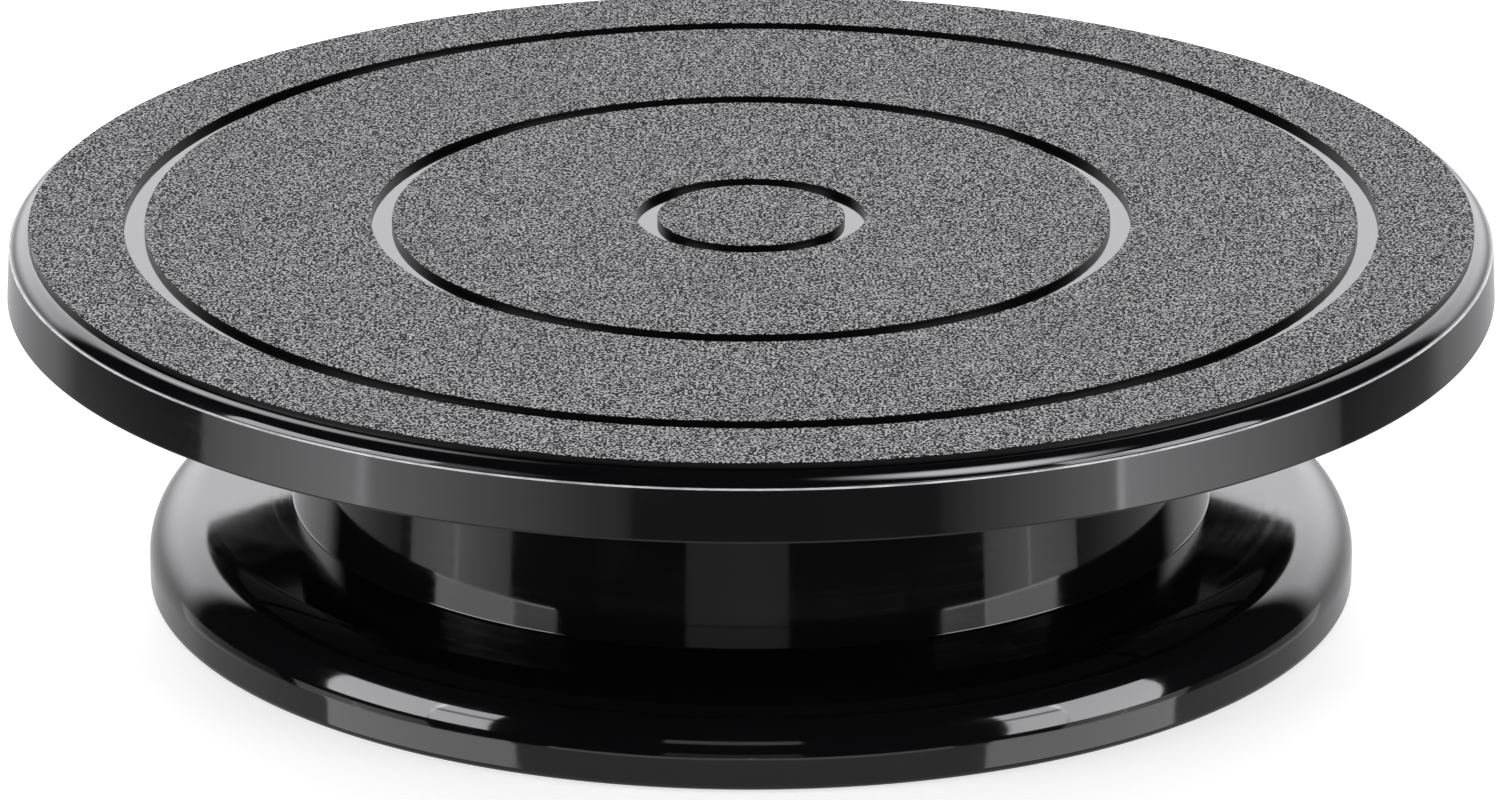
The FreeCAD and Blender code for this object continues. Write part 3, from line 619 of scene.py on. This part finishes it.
def plate(name, corners, wall, angle, soft):
    """A flat rib: an outline (radius, height) in a plane through the axis, with softened edges."""
    build = bmesh.new()
    sides = [
        [build.verts.new((across, side * wall / 2, up)) for across, up in corners] for side in (-1, 1)
    ]
    build.faces.new(sides[0])
    build.faces.new(list(reversed(sides[1])))
    for index in range(len(corners)):
        following = (index + 1) % len(corners)
        build.faces.new((sides[0][following], sides[0][index], sides[1][index], sides[1][following]))
    bmesh.ops.recalc_face_normals(build, faces=build.faces)
    bmesh.ops.bevel(
        build, geom=build.edges[:], offset=soft, segments=2, affect="EDGES", profile=0.5, clamp_overlap=True
    )
    bmesh.ops.rotate(build, verts=build.verts, matrix=Matrix.Rotation(angle, 3, "Z"))
    return finished_mesh(name, build)


def merge(piece, others, operation="UNION"):
    """Joins solids to a piece, or cuts them out of it, and leaves one closed mesh."""
    for other in others:
        step = piece.modifiers.new("merge", "BOOLEAN")
        step.operation = operation
        step.solver = "EXACT"
        step.object = other
    depsgraph = bpy.context.evaluated_depsgraph_get()
    mesh = bpy.data.meshes.new_from_object(piece.evaluated_get(depsgraph))
    piece.modifiers.clear()
    piece.data = mesh
    for other in others:
        bpy.data.objects.remove(other)


def joined(name, pieces):
    """Several solids that don't touch, as one mesh."""
    build = bmesh.new()
    for piece in pieces:
        build.from_mesh(piece.data)
        bpy.data.objects.remove(piece)
    return finished_mesh(name, build)


def finish_surface(piece, material, sharp=35):
    """Smooth shading with crisp edges, flat faces kept flat, and the piece's material."""
    mesh = piece.data
    mesh.shade_smooth()
    mesh.set_sharp_from_angle(angle=math.radians(sharp))
    weighted = piece.modifiers.new("flat_faces", "WEIGHTED_NORMAL")
    weighted.keep_sharp = True
    weighted.weight = 80
    mesh.materials.clear()
    mesh.materials.append(material)


# ---------------------------------------------------------------- platter


def ring_edges():
    """The inner and outer radius of each smooth ring, from the pads on either side of it."""
    return [(reach(name), reach(name) + RING_WIDTH) for name in PADS[:-1]]


def platter_outline():
    """Anticlockwise from the axis under the hub, out along the underside and back over the top."""
    radius = reach("platter")
    field = reach("outer_ring_pad")
    inside = radius - SKIRT_WALL
    dust_outer, dust_bottom = DUST_RING + DUST_WALL, RIM_BOTTOM + 0.5 * MM
    lip_bottom = RACE_TOP - LIP_HEIGHT
    soft = 0.25 * MM
    drop = SMOOTH_FACE - LEDGE
    shoulder_end = field + math.sqrt(SHOULDER_ROUND**2 - (SHOULDER_ROUND - drop) ** 2)
    corners = [
        (0, FLANGE_TOP),
        (BOSS_RADIUS, FLANGE_TOP, soft),
        (BOSS_RADIUS, DECK_UNDERSIDE, 0.6 * MM),
        (RACE_INNER - LIP, DECK_UNDERSIDE, soft),
        (RACE_INNER - LIP, lip_bottom, soft),
        (RACE_INNER, lip_bottom, soft),
        (RACE_INNER, RACE_TOP),
        (RACE_OUTER, RACE_TOP),
        (RACE_OUTER, lip_bottom, soft),
        (RACE_OUTER + LIP, lip_bottom, soft),
        (RACE_OUTER + LIP, DECK_UNDERSIDE, soft),
        (DUST_RING, DECK_UNDERSIDE, 0.6 * MM),
        (DUST_RING, dust_bottom, 0.4 * MM),
        (dust_outer, dust_bottom, 0.4 * MM),
        (dust_outer, DECK_UNDERSIDE, 0.6 * MM),
        (inside, DECK_UNDERSIDE, 1.5 * MM),
        (inside, RIM_BOTTOM, 0.4 * MM),
        (radius, RIM_BOTTOM, 0.5 * MM),
        (radius - RIM_TAPER, LEDGE, 0.35 * MM),
        (shoulder_end, LEDGE, 0.15 * MM),
    ]
    lowest = math.acos((SHOULDER_ROUND - drop) / SHOULDER_ROUND)
    steps = 24
    clear = 0.999  # keeps the first point apart from the corner before it
    for step in range(steps):
        lean = lowest * (1 - step / steps) * clear
        across = field + SHOULDER_ROUND * math.sin(lean)
        corners.append((across, SMOOTH_FACE - SHOULDER_ROUND * (1 - math.cos(lean))))
    corners.append((field, SMOOTH_FACE))
    corners.append((field, PAD_BOTTOM))
    for inner, outer in reversed(ring_edges()):
        corners += [
            (outer, PAD_BOTTOM),
            (outer, SMOOTH_FACE),
            (inner, SMOOTH_FACE),
            (inner, PAD_BOTTOM),
        ]
    corners.append((0, PAD_BOTTOM))
    return corners


def make_platter():
    """The gloss platter moulding, with its ribs, to stand for the CAD platter."""
    piece = lathe("platter_moulding", platter_outline())
    radius = reach("platter")
    wall, soft = 2.0 * MM, 0.2 * MM
    ribs = []
    for number in range(PLATTER_RIBS):
        angle = math.tau * number / PLATTER_RIBS
        for inner, outer, drop in (
            (BOSS_RADIUS - BURIED, RACE_INNER - LIP + BURIED, 3.0 * MM),
            (DUST_RING + DUST_WALL - BURIED, radius - SKIRT_WALL + BURIED, 2.5 * MM),
        ):
            low, high = DECK_UNDERSIDE - drop, DECK_UNDERSIDE + BURIED
            outline = [(inner, low), (outer, low), (outer, high), (inner, high)]
            ribs.append(plate("rib", outline, wall, angle, soft))
    merge(piece, [joined("ribs", ribs)])
    # The pale line on the rim's top edge: rubbed wear and a painted highlight.
    wear_and_highlight_edge = (radius - RIM_TAPER - 0.1 * MM, LEDGE - 0.1 * MM, 0.26 * MM)
    finish_surface(piece, gloss_plastic("platter_plastic", wear_and_highlight_edge))
    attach(piece, "turning_platter")
    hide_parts("platter")
    return piece


# ---------------------------------------------------------------- base shell and its feet


def base_outline():
    """Up the foot and neck, in over the deck, down the bush tower, round the nut well, and back."""
    soft = 0.25 * MM
    lip_top = BASE_TOP + LIP_HEIGHT
    corners = [
        (FOOT_RADIUS - SHELL_WALL, SHELL_BOTTOM, soft),
        (FOOT_RADIUS, SHELL_BOTTOM, 1.5 * MM),
        (FOOT_RADIUS, FOOT_TOP, FOOT_SHOULDER),
        (NECK_FOOT, FOOT_TOP, 0.4 * MM),
        (NECK_TOP, BASE_TOP, 1.0 * MM),
    ]
    for inner in (RACE_OUTER, RACE_INNER - LIP):
        corners += [
            (inner + LIP, BASE_TOP),
            (inner + LIP, lip_top, soft),
            (inner, lip_top, soft),
            (inner, BASE_TOP),
        ]
    corners += [
        (BUSH_RADIUS, BASE_TOP),
        (BUSH_RADIUS, TOWER_BOTTOM, soft),
        (TOWER_RADIUS, TOWER_BOTTOM, soft),
        (TOWER_RADIUS, DECK_INSIDE, 0.8 * MM),
        (WELL_INSIDE, DECK_INSIDE, 0.8 * MM),
        (WELL_INSIDE, WELL_BOTTOM + COVER_THICKNESS),
        (WELL_INSIDE + COVER_STEP, WELL_BOTTOM + COVER_THICKNESS),
        (WELL_INSIDE + COVER_STEP, WELL_BOTTOM, 0.2 * MM),
        (WELL_OUTSIDE, WELL_BOTTOM, soft),
        (WELL_OUTSIDE, DECK_INSIDE, 0.8 * MM),
        (NECK_TOP - SHELL_WALL, DECK_INSIDE, 1.5 * MM),
        (NECK_FOOT - SHELL_WALL, FOOT_TOP - SHELL_WALL, 1.0 * MM),
        (FOOT_RADIUS - SHELL_WALL, FOOT_TOP - SHELL_WALL, FOOT_SHOULDER - SHELL_WALL),
    ]
    return corners


def base_rib_outline():
    """One radial rib, buried in the middle of the walls around it."""
    middle = SHELL_WALL / 2
    well_end, foot_end = 9 * MM, 4 * MM  # the levels of its lower edge
    corners = [
        (WELL_OUTSIDE - BURIED, well_end),
        (FOOT_RADIUS - middle, foot_end),
        (FOOT_RADIUS - middle, FOOT_TOP - middle, FOOT_SHOULDER - middle),
        (NECK_FOOT - middle, FOOT_TOP - middle),
        (NECK_TOP - middle, BASE_TOP - middle),
        (WELL_OUTSIDE - BURIED, BASE_TOP - middle),
    ]
    return [tuple(point) for point in rounded(corners, closed=True)]


def at_foot(piece, number):
    """Moves a turned piece from the spin axis to the place of one foot."""
    angle = math.tau * number / BASE_RIBS
    place = Vector((FOOT_CIRCLE * math.cos(angle), FOOT_CIRCLE * math.sin(angle), 0))
    piece.data.transform(Matrix.Translation(place))
    return piece


def at_every_foot(name, corners):
    """The same turned solid at the place of each foot, as one mesh."""
    solids = [at_foot(lathe(name, corners, around=72), number) for number in range(BASE_RIBS)]
    return joined(name, solids)


def make_base(material):
    """The gloss base moulding: foot, neck, deck, tower, well, ribs and foot bosses in one."""
    piece = lathe("base_moulding", base_outline(), closed=True)
    wall, soft = 2.2 * MM, 0.25 * MM
    ribs = [
        plate("rib", base_rib_outline(), wall, math.tau * number / BASE_RIBS, soft)
        for number in range(BASE_RIBS)
    ]
    merge(piece, [joined("ribs", ribs)])
    boss = [
        (0, SHELL_BOTTOM),
        (FOOT_BOSS, SHELL_BOTTOM, 0.5 * MM),
        (FOOT_BOSS, FOOT_BOSS_TOP),
        (0, FOOT_BOSS_TOP),
    ]
    recess = [(0, 0), (RUBBER_RADIUS, 0), (RUBBER_RADIUS, RUBBER_TOP), (0, RUBBER_TOP)]
    merge(piece, [at_every_foot("boss", boss)])
    merge(piece, [at_every_foot("recess", recess)], "DIFFERENCE")
    finish_surface(piece, material)
    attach(piece, "base")
    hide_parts("base_shell")
    return piece


def make_feet(material):
    """Six rubber feet with grooves pressed into the face that grips the table."""
    soft, groove, outer_groove_end = 0.12 * MM, 0.3 * MM, 5.4 * MM
    corners = [(0, groove)]
    for ridge_start, ridge_end in ((1.2, 2.6), (3.3, 4.7)):
        corners += [
            (ridge_start * MM, groove, soft),
            (ridge_start * MM, 0, soft),
            (ridge_end * MM, 0, soft),
            (ridge_end * MM, groove, soft),
        ]
    corners += [
        (outer_groove_end, groove, soft),
        (outer_groove_end, 0, soft),
        (RUBBER_RADIUS, 0, 0.4 * MM),
        (RUBBER_RADIUS, RUBBER_TOP, soft),
        (0, RUBBER_TOP),
    ]
    for number, name in enumerate(FEET):
        piece = at_foot(lathe(f"grip_foot_{number + 1}", corners, around=96), number)
        finish_surface(piece, material)
        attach(piece, "base")
        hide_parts(name)


# ---------------------------------------------------------------- everything


def paint_frame(black, rubber):
    """Materials for the CAD nodes, those that stay and those that are replaced."""
    race_steel = turned_metal("race_steel", (0.56, 0.56, 0.55), 0.26)
    turned_steel = turned_metal("turned_steel", (0.52, 0.52, 0.52), 0.22, 3500.0, 0.2)
    zinc = turned_metal("zinc_plate", (0.64, 0.65, 0.66), 0.3, 1200.0, 0.08, (0.62, 0.60, 0.50))
    blued = turned_metal("spring_steel", (0.22, 0.22, 0.25), 0.35, 1600.0, 0.25, (0.17, 0.15, 0.16))
    nylon = pale_plastic("white_nylon", (0.78, 0.77, 0.73), (0.74, 0.70, 0.60))
    acetal = pale_plastic("natural_acetal", (0.84, 0.83, 0.79), (0.80, 0.77, 0.68), 0.3)
    paint(black, "platter", "base_shell")
    paint(rubber, *FEET)
    paint(gritty_pad(), *PADS)
    paint(race_steel, "lower_race", "upper_race")
    paint(turned_steel, "spindle")
    paint(zinc, "spindle_screws", "steel_washer", "lock_nut")
    paint(blued, "disc_spring")
    paint(ball_steel(), "race_balls")
    paint(nylon, "ball_cage")
    paint(acetal, "spindle_bush", "thrust_washer")
    paint(satin_plastic(), "hub_cover")


base_plastic = gloss_plastic("base_plastic")
rubber = foot_rubber()
make_camera()
paint_frame(base_plastic, rubber)
platter = make_platter()
base = make_base(base_plastic)
make_feet(rubber)
make_floor()
make_surroundings()
make_studio(platter, base)
